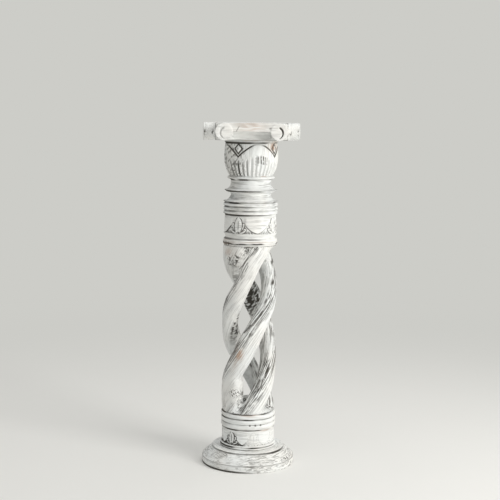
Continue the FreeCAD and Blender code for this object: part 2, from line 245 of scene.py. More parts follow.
def turned(name, outline, relief, grain, rubbed=unworn, columns=COLUMNS):
    """A closed mesh that a turned outline sweeps, with relief carved along its normals."""
    profile = np.array(outline.points)
    tangent = np.gradient(profile, axis=0)
    tangent /= np.linalg.norm(tangent, axis=1)[:, None]
    angle = wrapped(np.arange(columns) * 360.0 / columns, 360)
    phi, radius = np.meshgrid(angle, profile[:, 0])
    height = np.repeat(profile[:, 1][:, None], columns, axis=1)
    lift, ink = relief(phi, height, radius)
    radius = radius + lift * tangent[:, 1][:, None]
    height = height - lift * tangent[:, 0][:, None]
    points = np.stack([*flat(phi, radius), height], axis=2).reshape(-1, 3)
    rows = len(profile)
    index = np.arange(rows * columns).reshape(rows, columns)
    right = np.roll(index, -1, axis=1)
    faces = np.stack([index[:-1], right[:-1], right[1:], index[1:]], axis=2).reshape(-1, 4).tolist()
    bottom, top = len(points), len(points) + 1
    points = np.vstack([points, [0, 0, profile[0, 1]], [0, 0, profile[-1, 1]]])
    faces += [[int(b), int(a), bottom] for a, b in zip(index[0], right[0])]
    faces += [[int(a), int(b), top] for a, b in zip(index[-1], right[-1])]
    return new_object(name, points, faces, grain(points), np.append(ink.ravel(), [0, 0]), rubbed(points))


def carved(name, node, voxel, distance, grain, ink, rubbed=unworn):
    """A closed mesh of the solid where a distance, in millimetres, is below zero, in a node's box."""
    low, high = [[value / MM for value in corner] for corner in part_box(node)]
    margin = 3
    counts = [int(math.ceil((b - a) / voxel)) + 2 * margin for a, b in zip(low, high)]
    axes = [a + (np.arange(n) - margin + 0.5) * voxel for a, n in zip(low, counts)]
    field = np.empty(counts, np.float32)
    y, z = np.meshgrid(axes[1], axes[2], indexing="ij")
    for index, x in enumerate(axes[0]):
        field[index] = distance(np.full_like(y, x), y, z)
    grid = openvdb.FloatGrid(margin)
    grid.copyFromArray(np.clip(field / voxel, -margin, margin))
    points, triangles, quads = grid.convertToPolygons(isovalue=0.0, adaptivity=0.0)
    points = np.asarray(points) * voxel + [axis[0] for axis in axes]
    points = np.clip(points, low, high)
    faces = [face[::-1] for face in [*triangles.tolist(), *quads.tolist()]]
    return new_object(name, points, faces, grain(points), ink(points), rubbed(points))


def polar(points):
    """Angle from the front in degrees, radius and height of points in millimetres."""
    angle = np.degrees(np.arctan2(points[:, 0], -points[:, 1]))
    return angle, np.hypot(points[:, 0], points[:, 1]), points[:, 2]


def spot(points, angle, height, wide, tall):
    """A soft round mark on the column's face, about wide by tall millimetres."""
    phi, radius, z = polar(points)
    across = np.radians(wrapped(phi - angle, 360)) * radius
    return np.exp(-((across / wide) ** 2) - ((z - height) / tall) ** 2)


def upright_grain(points):
    """Grain that runs up the column."""
    return points * MM


def level_grain(points):
    """Grain of the brush strokes that run round the column."""
    return np.stack([points[:, 2], 0.06 * points[:, 1], points[:, 0]], axis=1) * MM


def dents(phi, height, radius, size, depth, seed):
    """The small unevenness of hand work, which only takes away."""
    uneven = wobble(*flat(phi, radius), height, size=size, seed=seed)
    return depth * np.minimum(uneven - 0.8, 0)


def in_shade(phi):
    """1 on the left of the column, the side away from the light, and 0 on its right: it weights dark wash
    that is painted thicker on the left, as painted shade as well as wash.
    """
    return 0.5 - 0.5 * np.sin(np.radians(phi - 10))


def ring_lines(phi, height, levels, width, seed, shares=(1, 1, 1, 1, 1, 1)):
    """Dark wash along level lines, broken up round the column, and painted thicker and darker on its left as
    painted shade.
    """
    ink = 0.0
    for number, z in enumerate(levels):
        broken = 0.55 + 0.5 * round_wobble(phi, 8, seed + number)
        strength = np.clip(broken + 0.9 * (in_shade(phi) - 0.35), 0.15, 1)
        ring = stroke(height - z, width * (0.8 + 0.8 * in_shade(phi))) * strength
        ink = np.maximum(ink, ring * shares[number])
    return ink


def finish_as(obj, slot, node, streaks=0.2):
    """Puts a piece on the column in place of its CAD node, with brush streaks of a strength."""
    write_mark(obj.data, "streaks", np.full(len(obj.data.vertices), streaks))
    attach(obj, "root")
    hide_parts(node)
    obj.data.materials.append(MATERIALS[slot])


# Materials


def feed(tree, socket, value):
    """Links a node's output to a socket, or writes a plain value there."""
    if isinstance(value, bpy.types.NodeSocket):
        tree.links.new(value, socket)
    else:
        socket.default_value = value


def add_node(tree, kind, inputs=None, **settings):
    """A new shader node with settings, and with links or plain values in its inputs."""
    made = tree.nodes.new(kind)
    for name, value in settings.items():
        setattr(made, name, value)
    for name, value in (inputs or {}).items():
        feed(tree, made.inputs[name], value)
    return made


class Shader:
    """A material's node tree, with short calls for the nodes that the finishes use."""

    def __init__(self, name):
        self.material = bpy.data.materials.new(name)
        self.material.use_nodes = True
        self.tree = self.material.node_tree
        self.surface = self.tree.nodes["Principled BSDF"]
        self.place = self.add_node("ShaderNodeTexCoord").outputs["Object"]

    def add_node(self, kind, inputs=None, **settings):
        return add_node(self.tree, kind, inputs, **settings)

    def dressed(self, **inputs):
        """The material, once its surface has a base_color, a roughness and so on."""
        for name, value in inputs.items():
            feed(self.tree, self.surface.inputs[name.replace("_", " ").title()], value)
        return self.material

    def mark(self, name, output="Fac"):
        """What write_mark wrote under a name."""
        return self.add_node("ShaderNodeAttribute", attribute_name=name).outputs[output]

    def math(self, operation, a, b=0.0):
        return self.add_node("ShaderNodeMath", {0: a, 1: b}, operation=operation).outputs[0]

    def add(self, *values):
        return functools.reduce(functools.partial(self.math, "ADD"), values)

    def times(self, *values):
        return functools.reduce(functools.partial(self.math, "MULTIPLY"), values)

    def greatest(self, *values):
        return functools.reduce(functools.partial(self.math, "MAXIMUM"), values)

    def stretched(self, vector, scale):
        inputs = {0: vector, 1: scale}
        return self.add_node("ShaderNodeVectorMath", inputs, operation="MULTIPLY").outputs[0]

    def noise(self, vector, scale=1.0, detail=3.0, roughness=0.55):
        inputs = {"Vector": vector, "Scale": scale, "Detail": detail, "Roughness": roughness}
        return self.add_node("ShaderNodeTexNoise", inputs).outputs["Fac"]

    def between(self, value, low, high, out_low=0.0, out_high=1.0):
        """A smooth change from out_low to out_high, as the value goes from low to high."""
        inputs = {"Value": value, "From Min": low, "From Max": high, "To Min": out_low, "To Max": out_high}
        return self.add_node("ShaderNodeMapRange", inputs, interpolation_type="SMOOTHSTEP").outputs["Result"]

    def mix(self, share, a, b):
        """Colour a where the share is 0, and b where it is 1."""
        made = self.add_node("ShaderNodeMix", data_type="RGBA")
        feed(self.tree, made.inputs["Factor"], share)
        colours = [socket for socket in made.inputs if socket.type == "RGBA"]
        for socket, value in zip(colours, (a, b)):
            feed(self.tree, socket, (*value, 1.0) if isinstance(value, tuple) else value)
        return [socket for socket in made.outputs if socket.type == "RGBA"][0]

    def bump(self, height, strength, distance):
        inputs = {"Strength": strength, "Distance": distance, "Height": height}
        return self.add_node("ShaderNodeBump", inputs).outputs["Normal"]


COOL_WHITE = (0.88, 0.90, 0.90)
WARM_WHITE = (0.89, 0.87, 0.83)
DARK_WASH_AND_SHADE = (0.060, 0.055, 0.045)
PALE_WASH = (0.38, 0.37, 0.33)
BARE_WOOD = (0.30, 0.17, 0.10)
PINK_WOOD = (0.63, 0.42, 0.30)


def whitewash(name, streak_size, streak_length, warmth):
    """Worn white paint on carved wood: dark wash in hollows and streaks, painted shade where the ink mark
    carries it, bare wood where rubbed.
    """
    s = Shader(name)
    grain = s.mark("grain", "Vector")
    marks = ("hollow", "valley", "ink", "rubbed", "streaks")
    hollow, valley, ink, rubbed, streak_share = [s.mark(mark) for mark in marks]

    # Noise along the grain, from fine to broad, and noise over the whole column
    across = 1 / (streak_size * MM)
    along = 1 / (streak_length * MM)
    fine = s.noise(s.stretched(grain, (across, across, along)), detail=3, roughness=0.5)
    hair = s.noise(s.stretched(grain, (2.0 * across, 2.0 * across, 1.4 * along)), detail=2)
    contour = s.noise(s.stretched(grain, (across / 3.2, across / 3.2, along / 3.0)), detail=1.5)
    vein = s.between(s.math("ABSOLUTE", s.add(contour, -0.5)), 0.030, 0.070, 1.0, 0.0)
    broad = s.noise(s.stretched(grain, (across / 3, across / 3, along / 1.6)), detail=2)
    patch = s.noise(s.place, scale=20, detail=3)
    tone = s.noise(s.place, scale=9, detail=4)
    grit = s.noise(s.place, scale=900, detail=3, roughness=0.7)

    # White paint, with soft grey where the brush has left less of it
    paint = s.mix(s.between(tone, 0.35, 0.65, warmth - 0.3, warmth + 0.3), COOL_WHITE, WARM_WHITE)
    patchy = s.between(patch, 0.34, 0.58, 0.20, 1.0)
    soft = s.add(s.between(broad, 0.50, 0.70, 0.0, 0.22), s.between(hair, 0.52, 0.66, 0.0, 0.30))
    soft = s.times(soft, s.between(streak_share, 0.0, 1.0, 0.40, 0.70))
    paint = s.mix(s.times(soft, patchy), paint, PALE_WASH)

    # Dark wash in streaks, grooves and valleys, and where the ink mark asks for it; the ink mark also
    # carries painted shade
    streaks = s.greatest(s.between(fine, 0.54, 0.63), s.times(vein, s.between(hair, 0.40, 0.52)))
    streaks = s.times(streaks, patchy, streak_share)
    in_grooves = s.between(s.add(hollow, s.times(s.add(fine, -0.5), 0.5)), 0.12, 0.42, 0.0, 0.7)
    in_valleys = s.between(s.add(valley, s.times(s.add(patch, -0.5), 3.0)), 0.5, 3.0, 0.0, 0.45)
    holding = s.add(patch, fine, s.times(ink, 0.9))
    inked_wash_and_shade = s.times(ink, s.between(holding, 0.90, 1.35, 0.40, 1.0))
    wash = s.greatest(in_grooves, in_valleys, inked_wash_and_shade, streaks)
    colour = s.mix(wash, paint, DARK_WASH_AND_SHADE)

    # Bare wood where the column is rubbed, and on some crests
    worn = s.greatest(vein, s.between(fine, 0.48, 0.62, 0.15, 0.85))
    worn = s.times(rubbed, worn, s.between(ink, 0.3, 0.8, 1.0, 0.2))
    crest = s.between(s.times(hollow, -1.0), 0.15, 0.40)
    crest = s.times(crest, s.between(patch, 0.55, 0.68, 0.0, 0.5))
    colour = s.mix(s.greatest(worn, crest), colour, s.mix(tone, PINK_WOOD, BARE_WOOD))

    # Fine grit, and brush marks that lie lower where the streaks are
    scored = s.times(s.between(fine, 0.45, 0.70), streak_share, -1.0)
    relief = s.add(s.times(grit, 0.12), scored)
    roughness = s.between(s.add(fine, wash), 0.3, 1.4, 0.52, 0.85)
    return s.dressed(base_color=colour, roughness=roughness, normal=s.bump(relief, 0.8, 0.5 * MM))


def dowel_wood():
    s = Shader("dowel_wood")
    rings = s.noise(s.stretched(s.place, (700, 700, 60)), detail=4)
    colour = s.mix(rings, (0.62, 0.46, 0.28), (0.42, 0.28, 0.15))
    roughness = s.between(rings, 0.2, 0.8, 0.5, 0.75)
    return s.dressed(base_color=colour, roughness=roughness, normal=s.bump(rings, 0.3, 0.2 * MM))


def screw_steel():
    s = Shader("screw_steel")
    spots = s.noise(s.place, scale=900, detail=5)
    colour = s.mix(spots, (0.70, 0.70, 0.68), (0.46, 0.46, 0.44))
    return s.dressed(metallic=1.0, base_color=colour, roughness=s.between(spots, 0.2, 0.8, 0.28, 0.5))


# How large and how long the streaks of each whitewash are, and how warm it is
WASHES = {
    "whitewashed_wood": (3.6, 60, 0.35),
    "whitewashed_base": (2.8, 16, 0.40),
    "whitewashed_capital": (4.5, 60, 0.50),
}
MATERIALS = {slot: whitewash(slot, *wash) for slot, wash in WASHES.items()}
MATERIALS.update(dowel_wood=dowel_wood(), screw_steel=screw_steel())


# Base

RIM_HEIGHT = 21.5

# Marks on the base, each by its middle angle and its reach to both sides
WORN_FRONT = (4, 8)
RIM_DASHES = (60, 12)
# Where the seam round the step, with painted shadow under the step's edge, is darkest
STEP_SHADOW_RIGHT = (52, 26)


def base_grain(points):
    """Grain of the brush strokes on the base, which follow its round."""
    x, y, z = points.T
    return np.stack([np.hypot(x, y) - z, 0.15 * y, x], axis=1) * MM


def base_relief(phi, height, radius):
    """Lift and ink of the base disc."""
    lift = dents(phi, height, radius, 34, 0.35, 1) + dents(phi, height, radius, 12, 0.12, 2)
    lift = lift * (height > 1.0)
    worn = near(phi, *WORN_FRONT) + 0.25 * (round_wobble(phi, 9, 4) > 0.4)
    rim_line = stroke(height - RIM_HEIGHT + 1.2, 3.0) * np.clip(worn, 0.5, 1)
    x, y = flat(phi, radius)
    dashes = smoothstep(wobble(x * 0.5, -y * 0.5, height, size=5.0, seed=8), 0.1, 0.5)
    dashes = dashes * near(phi, *RIM_DASHES) * line(height - RIM_HEIGHT - 5, 10)
    # Painted shadow along the floor, thick on the column's shaded left
    left_part = smoothstep(in_shade(phi), 0.35, 0.75)
    painted_floor_shadow = stroke(height, 5.0 + 6.0 * left_part) * left_part
    # A dark seam round the step, with painted shadow under the step's edge, darkest on the right
    right_part = near(phi, *STEP_SHADOW_RIGHT)
    seam = stroke(radius - STEP_RADIUS, 3.4 + 2.0 * right_part) * (0.45 + 0.55 * right_part)
    seam = seam * (height > RIM_HEIGHT + 10)
    return lift, darkest(rim_line, dashes, painted_floor_shadow, seam)


def base_rubbed(points):
    patchy = smoothstep(wobble(points[:, 0], points[:, 1], size=45, seed=3), 0.3, 1.4)
    return patchy * line(points[:, 2] - RIM_HEIGHT, 8) * 0.3


def step_relief(phi, height, radius):
    """Lift and ink of the step disc, with painted shade under its edge."""
    lift = dents(phi, height, radius, 34, 0.25, 5)
    return lift, line(height - STEP_Z, 2.5) * smoothstep(radius, STEP_RADIUS - 6, STEP_RADIUS - 2)


def make_base():
    outline = Outline(0.5, 0.0)
    outline.to(BASE_RADIUS - 2.0, 0.0, 9)
    outline.to(BASE_RADIUS, 2.0, 0.8, swell=0.6)
    outline.to(BASE_RADIUS, RIM_HEIGHT - 1.0, 1.2)
    outline.to(BASE_RADIUS - 1.0, RIM_HEIGHT, 0.5, swell=0.3)
    outline.to(STEP_RADIUS - 2.0, STEP_Z - 0.2, 1.2, swell=1.6)
    outline.to(STEP_RADIUS - 6.0, STEP_Z, 1.0)
    outline.to(2.0, STEP_Z, 20)
    base = turned("base_disc_worn", outline, base_relief, base_grain, base_rubbed, columns=720)
    finish_as(base, "whitewashed_base", "base_disc", 0.6)

    outline = Outline(2.0, STEP_Z)
    outline.to(STEP_RADIUS - 2.0, STEP_Z, 12)
    outline.to(STEP_RADIUS, STEP_Z + 2.2, swell=0.6)
    outline.to(STEP_RADIUS - 2.5, FOOT_Z, swell=0.7)
    outline.to(60.0, FOOT_Z, 1.3)
    outline.to(2.0, FOOT_Z, 15)
    step = turned("step_disc_worn", outline, step_relief, base_grain)
    finish_as(step, "whitewashed_base", "step_disc", 0.3)


# Friezes


def leaf(across, up, lean, foot, length, width):
    """A pointed leaf that leans out from the middle line: its height and its outline, 0 to 1."""
    turn = math.radians(lean)
    u = across * math.cos(turn) - up * math.sin(turn)
    v = across * math.sin(turn) + up * math.cos(turn) - foot
    t = v / length
    half = width / 2 * np.sqrt(np.clip(np.sin(math.pi * np.clip(0.16 + 0.84 * t, 0, 1)), 0, 1)) + 0.01
    edge = np.abs(u) - half
    along = smoothstep(t, -0.06, 0.03) * (1 - smoothstep(t, 0.98, 1.06))
    slit = line(u, 1.8) * smoothstep(t, 0.05, 0.15) * (1 - smoothstep(t, 0.62, 0.80))
    height = np.sqrt(np.clip(1 - (u / half) ** 2, 0, 1)) * (1 - 0.9 * slit) * along
    return height, np.maximum(line(edge, 2.2), 0.9 * slit) * along


def palmette(across, up, tall):
    """A five-leaved palmette with its root at up = 0: its height and its outline, 0 to 1."""
    height, outline = 0.0, 0.0
    # Each leaf's lean in degrees, and its length and width as shares of the palmette's height
    leaves = ((66, 0.50, 0.30), (-66, 0.50, 0.30), (34, 0.62, 0.30), (-34, 0.62, 0.30), (0, 0.84, 0.54))
    for lean, length, width in leaves:
        one_height, one_outline = leaf(across, up, lean, 0.13 * tall, length * tall, width * tall)
        covered = smoothstep(one_height, 0.05, 0.3)
        height = np.maximum(height, one_height)
        outline = np.maximum(outline * (1 - covered), one_outline)
    return height, outline


def frieze(phi, height, bottom, tall, radius, first, period, lobe_half, lobe_rise, shade):
    """Lift and ink of a band of smooth hanging lobes with a palmette between each two."""
    local = wrapped(phi - first + 1.2 * round_wobble(phi, 8, 5), period)
    across = np.radians(local) * radius
    up = height - bottom
    beside = np.radians(period / 2) * radius - np.abs(across)
    edge = up - lobe_rise * (np.clip(np.abs(beside) / lobe_half, 0, 1.45)) ** 1.6
    past_lobe = smoothstep(beside, lobe_half, lobe_half * 1.35)
    above = smoothstep(up, tall * 0.93 - 3, tall * 0.93 + 2)
    flush = np.maximum(smoothstep(edge, -0.8, 0.8) * (1 - past_lobe), above)
    leaves, leaf_lines = palmette(across, up - 1.0, tall)
    lobe_line = line(edge, 2.6) * (1 - smoothstep(beside, lobe_half * 0.95, lobe_half * 1.15))
    shown = smoothstep(leaves, 0.02, 0.2)
    lobe_line = lobe_line * (1 - shown)
    lift = -2.8 * (1 - flush) * (1 - shown) + (-1.8 + 1.9 * leaves) * shown
    lift = lift - 1.2 * lobe_line - 0.9 * leaf_lines
    pits = (1 - flush) * (1 - shown) * (1 - smoothstep(up, 0.04 * tall, 0.24 * tall))
    slanting = smoothstep(wobble(across + up * 0.5 * np.sign(across), phi * 0, size=5.0, seed=6), -0.3, 0.4)
    lines = np.clip(1.7 * np.maximum(lobe_line, leaf_lines), 0, 1)
    ink = np.maximum(lines, pits * (0.45 + 0.55 * slanting))
    fade = smoothstep(up, -2.0, 0.5) * (1 - smoothstep(up, tall - 1.5, tall))
    return np.minimum(lift, 0) * fade, ink * fade * shade


# Foot

LOWER_FRIEZE_BOTTOM = FOOT_Z + 14.0
LOWER_FRIEZE_TOP = LOWER_FRIEZE_BOTTOM + 44.5
LOWER_FRIEZE = {
    "bottom": LOWER_FRIEZE_BOTTOM, "tall": 37.0, "radius": 77.5,
    "first": 11.9, "period": 360 / 7, "lobe_half": 17.0, "lobe_rise": 13.0,
}
FOOT_RING_COUNT = 3
FOOT_RING_HEIGHT = (TWIST_Z - LOWER_FRIEZE_TOP) / FOOT_RING_COUNT
FOOT_GROOVE_RADIUS = 76.0


def foot_relief(phi, height, radius):
    """Lift and ink of the foot, with dark dots over its frieze."""
    face = radius > FACE_RADIUS
    lift = dents(phi, height, radius, 26, 0.3, 7)
    shade = 0.12 + 0.88 * smoothstep(in_shade(phi), 0.58, 0.74)
    carving, ink = frieze(phi, height, shade=shade, **LOWER_FRIEZE)
    in_band = (height > LOWER_FRIEZE_BOTTOM - 1) & (height < LOWER_FRIEZE_TOP) & face
    levels = [FOOT_Z + 0.8, FOOT_Z + 7.0]
    levels += [LOWER_FRIEZE_TOP + FOOT_RING_HEIGHT * number for number in range(FOOT_RING_COUNT + 1)]
    rings = ring_lines(phi, height, levels, 3.0, 200, (1, 1, 1, 0.4, 1.1, 1.1)) * face
    dots = near(wrapped(phi - 4, 12), 0, 2.2) * (np.abs(phi - 16) < 16) * stroke(height - levels[3], 5.0)
    lift = lift + in_band * carving * (0.4 + 0.6 * shade)
    return lift, darkest(rings, dots, in_band * np.clip(1.4 * ink, 0, 1))


def foot_rubbed(points):
    return spot(points, 4, TWIST_Z, 26, 4) * 1.2 + spot(points, 40, TWIST_Z - 48, 20, 3) * 0.6


def make_foot():
    outline = Outline(2.0, FOOT_Z)
    outline.to(80.0, FOOT_Z, 16)
    outline.up(6.6, 0.7, swell=3.0)
    outline.up(0.6, radius=79.0)
    outline.up(6.2, 0.7, swell=2.6, radius=79.0)
    outline.to(LOWER_FRIEZE["radius"], LOWER_FRIEZE_BOTTOM + 0.4)
    outline.to(LOWER_FRIEZE["radius"], LOWER_FRIEZE_TOP - 0.8, 0.9)
    outline.to(FOOT_GROOVE_RADIUS, LOWER_FRIEZE_TOP)
    for _ in range(FOOT_RING_COUNT):
        outline.up(1.4, swell=0.3, radius=78.3)
        outline.up(FOOT_RING_HEIGHT - 2.8, 0.9, swell=2.1)
        outline.up(1.4, swell=0.3, radius=FOOT_GROOVE_RADIUS)
    outline.to(2.0, TWIST_Z, 15)
    foot = turned("foot_drum_carved", outline, foot_relief, level_grain, foot_rubbed)
    finish_as(foot, "whitewashed_wood", "foot_drum", 0.22)


# Open twist

TWIST_PITCH = 640.0
FRONT_CROSSING_Z = TWIST_Z + 210.0
STRAND_HALF_WIDTH = 34.5
STRAND_HALF_DEPTH = 23.5
TWIST_RADIUS = 80.5
STRAND_MIDDLE = TWIST_RADIUS - STRAND_HALF_DEPTH
LOWER_WEB = 37.0
UPPER_WEB = 58.0
WEB_RADIUS = 76.5
WEB_TIP_RADIUS = 26.0
WEB_DISHING = 24.0

# Wood left uncarved beside the strands' ends: its middle angle and half width, and where it stops
LOWER_POST = (-48.0, 27.0)
LOWER_POST_TOP = 262.0
UPPER_POST = (-45.0, 38.0)
UPPER_POST_FOOT = 584.0

FURROW_DEPTH = 0.55
FURROW_SEED = 24
EDGE_LINE_INSETS = (12.0, 18.0, 24.0, 29.0)

# Marks and rubbed places on the twist: angle, height, and about how wide and tall each is
CRACKS = (-38, 612, 21, 12)
PECKS = (-34, 218, 13, 11)
WORN_THROUGH = (-21, 334, 12, 20)
WORN_BELOW = (-33, 314, 15, 28)
WORN_AT_HEAD = (-50, HEAD_Z - 20, 24, 12)

# Where the painted shade on inner faces turns black, at the back and in one strand, by middle height and
# reach
BLACK_AT_BACK = (490, 62)
BLACK_IN_STRAND = (408, 38)
BLACK_STRAND = 2

# Each strand: heights, how far its line strays upwards there, and its share of full width
STRAND_STRAYS = (
    ((260, 320, 380, 440, 500), (-3, -6, 5, 6, -8), (1, 1, 0.95, 0.82, 0.82)),
    ((200, 330, 440, 500, 560, 620), (-5, 0, 16, 26, 20, 5), (0.95, 1, 1, 1, 1, 1)),
    ((230, 300, 470, 550, 590, 640), (14, 6, -9, -9, 5, 10), (1, 1, 1, 0.72, 0.80, 1)),
)
STRAND_COUNT = len(STRAND_STRAYS)


def eased(z, heights, values):
    """Values given at heights, joined by a soft curve."""
    levels = np.arange(100.0, 700.0, 5.0)
    window = np.hanning(13)
    joined = np.pad(np.interp(levels, heights, values), 6, mode="edge")
    return np.interp(z, levels, np.convolve(joined, window / window.sum(), mode="valid"))


def strand_places(x, y, z):
    """Where a point lies in each strand: sideways, outwards and the strand's share of full width."""
    phi = np.degrees(np.arctan2(x, -y))
    radius = np.hypot(x, y)
    for number, (heights, strays, widths) in enumerate(STRAND_STRAYS):
        up = eased(z, heights, strays)
        width = eased(z, heights, widths)
        middle = 360.0 / STRAND_COUNT * number + 360.0 * (z - up - FRONT_CROSSING_Z) / TWIST_PITCH
        local = np.radians(wrapped(phi - middle, 360))
        yield radius * np.sin(local), radius * np.cos(local) - STRAND_MIDDLE, width


def section(across, out, half_width):
    """Outside distance of a strand's rounded section."""
    power = 2.2
    u = np.abs(across) / half_width
    v = np.abs(out) / STRAND_HALF_DEPTH
    return ((u ** power + v ** power + 1e-9) ** (1 / power) - 1) * STRAND_HALF_DEPTH


def web_distance(radius, rise, height):
    """Outside distance of the hollow-sided cone between the strands, by height above its end."""
    t = np.clip((rise - 3) / (height - 11), 0, 1)
    side = WEB_RADIUS * (1 - t) + WEB_TIP_RADIUS * t - WEB_DISHING * t * (1 - t)
    return smooth_max((radius - side) * 0.72, (rise - height) * 0.9, 8.0)


def post_distance(x, y, angle, half_width):
    """Outside distance of upright wood that is left uncarved beside a strand's end."""
    turn = np.arctan2(x, -y) - math.radians(angle)
    radius = np.hypot(x, y)
    return section(radius * np.sin(turn), radius * np.cos(turn) - STRAND_MIDDLE + 2.0, half_width)


def furrow(across, out, z, seed):
    """Long tool marks along a strand, 0 to 1."""
    return smoothstep(wobble(across, out * 1.3, z * 0.10, size=6.5, seed=seed), 0.6, 1.2)


def twist_distance(x, y, z):
    """Outside distance of the open twist."""
    radius = np.hypot(x, y)
    lower_post = post_distance(x, y, *LOWER_POST)
    upper_post = post_distance(x, y, *UPPER_POST)
    strands = smooth_max(lower_post, z - LOWER_POST_TOP, 24.0)
    strands = np.minimum(strands, smooth_max(upper_post, UPPER_POST_FOOT - z, 24.0))
    beside_post = ((z < LOWER_POST_TOP + 10.0) | (z > UPPER_POST_FOOT - 20.0)) & (x < 0)
    for number, (across, out, width) in enumerate(strand_places(x, y, z)):
        strand = section(across, out, STRAND_HALF_WIDTH * width)
        strand = strand + wobble(across, out, z * 0.2, size=20, seed=20 + number) * 0.4
        strand = strand + furrow(across, out, z, FURROW_SEED + number) * FURROW_DEPTH
        strands = smooth_min(strands, strand, 4.0 + 8.0 * beside_post)
    strands = smooth_max(strands, radius - TWIST_RADIUS, 5.0)
    lower_web = web_distance(radius, z - TWIST_Z, LOWER_WEB)
    upper_web = web_distance(radius, HEAD_Z - z, UPPER_WEB)
    body = smooth_min(strands, np.minimum(lower_web, upper_web), 9.0)
    from_end = np.minimum(z - TWIST_Z, HEAD_Z - z)
    shoulder = radius - (TWIST_RADIUS - 3.5 * (1 - smoothstep(from_end, 0.0, 10.0)))
    return np.maximum(smooth_max(body, shoulder, 2.0), -from_end)


def nearest_strand(points):
    """Each point's place in its nearest strand, and the strand's number."""
    places = list(strand_places(points[:, 0], points[:, 1], points[:, 2]))
    across = np.stack([place[0] for place in places])
    out = np.stack([place[1] for place in places])
    number = np.argmin(np.hypot(across / 1.5, out), axis=0)
    pick = np.arange(len(points))
    return across[number, pick], out[number, pick], number


def strand_grain(points):
    """Grain that runs along each strand."""
    across, out, number = nearest_strand(points)
    return np.stack([across, out + number * 70, points[:, 2] * 1.25], axis=1) * MM


def edge_lines(across, z):
    """The parallel dark lines that a gouge has left along a strand's left side."""
    ink = 0.0
    for number, inset in enumerate(EDGE_LINE_INSETS):
        stray = 1.6 * wobble(z, across * 0, size=80, seed=50 + number)
        shown = smoothstep(wobble(z, across, size=50, seed=54 + number), -0.4, 0.2)
        ink = np.maximum(ink, stroke(across + inset + stray, 2.2) * shown)
    return ink


def twist_ink(points):
    """Dark wash in the tool marks, in cracks and pecks and at the joints, with painted shade on the strands'
    inner faces and on the joints' left.
    """
    across, out, number = nearest_strand(points)
    phi, _, z = polar(points)
    x, y = points[:, 0], points[:, 1]
    furrows = [furrow(across, out, z, FURROW_SEED + strand) for strand in range(STRAND_COUNT)]
    furrows = np.choose(number, furrows) * (0.14 + 0.7 * smoothstep(-across, -8, 24))
    edges = edge_lines(across, z) * smoothstep(out, -4, 4)
    black = near(z, *BLACK_AT_BACK) * smoothstep(y, 5, 25)
    black = black + near(z, *BLACK_IN_STRAND) * (number == BLACK_STRAND)
    hatch = smoothstep(wobble(across * 0.6 + z * 0.5, out, z, size=9, seed=44), -0.35, 0.35)
    # Painted shade on the strands' inner faces: grey, hatched, and black at the back and in one strand
    inner = smoothstep(-out, 4, 16) * (0.10 + 0.14 * hatch + hatch * np.clip(black, 0, 1))
    cracks = smoothstep(wobble(x * 0.6 - z * 0.5, y, z * 0.8, size=8, seed=46), 0.1, 0.5)
    pecks = smoothstep(wobble(x + z * 0.5, z - x * 0.3, size=7, seed=47), 0.2, 0.6)
    broken = 1.8 * np.maximum(cracks * spot(points, *CRACKS), pecks * spot(points, *PECKS))
    # Dark line at the joints, painted stronger on the shaded left as painted shade
    joints = line(np.minimum(z - TWIST_Z, HEAD_Z - z), 3.5) * 0.5 * in_shade(phi)
    return darkest(furrows, edges, inner, broken, joints)


def twist_rubbed(points):
    across, out, _ = nearest_strand(points)
    streaks = smoothstep(wobble(across, out, points[:, 2] * 0.12, size=5, seed=61), -0.3, 0.4)
    worn = np.maximum(spot(points, *WORN_THROUGH) * 1.3, spot(points, *WORN_BELOW) * 0.75)
    return worn * (0.25 + 0.75 * streaks) + spot(points, *WORN_AT_HEAD) * 0.5


def make_twist():
    marks = (strand_grain, twist_ink, twist_rubbed)
    twist = carved("open_twist_carved", "open_twist", 1.8, twist_distance, *marks)
    across = nearest_strand(vertices(twist.data))[0]
    streaks = 0.26 + 0.74 * smoothstep(-across, -10, 20)
    finish_as(twist, "whitewashed_wood", "open_twist", streaks)


# Head

CARVING_TURN = 15.6
FRIEZE_BOTTOM = HEAD_Z + 32.0
FRIEZE_TOP = FRIEZE_BOTTOM + 54.0
UPPER_FRIEZE = {
    "bottom": FRIEZE_BOTTOM + 5, "tall": 47.0, "radius": 76.0,
    "first": CARVING_TURN + 45.0, "period": 90, "lobe_half": 33.0, "lobe_rise": 20.0,
}
HEAD_RING_COUNT = 4
HEAD_RING_HEIGHT = 11.7
HEAD_RING_RADIUS = 79.2
NECK_RADIUS = 58.5
ARRIS_Z = HEAD_Z + 158.7
BEAD_Z = HEAD_Z + 190.7
BELL_Z = HEAD_Z + 199.2
BELL_FOOT = 62.0
BELL_TOP = CAPITAL_Z - 8.0
ARCH_TOP = BELL_TOP - 3.5
ARCH_DROP = 36.0
ARCH_POWER = 1.75
ARCH_HALF_TURN = 45.0
LOZENGE_Z = ARCH_TOP - 13.0
LOZENGE_HALF_WIDTH = 12.0
LOZENGE_HALF_HEIGHT = 14.0
FLUTE_COUNT = 36
FLUTE_HALF_WIDTH = 3.2
FLUTE_TOP = 902.5

# Marks on the torus, each by its middle angle and its reach to both sides
TORUS_DOT = (73, 5)
TORUS_END = (-66, 22)

# Rubbed places on the head: angle, height, and about how wide and tall each is
WORN_TORUS_END = (-68, HEAD_Z + 8, 24, 8)
WORN_TORUS_EDGE = (10, HEAD_Z + 12, 60, 3)
WORN_BELL = (60, 932, 22, 13)


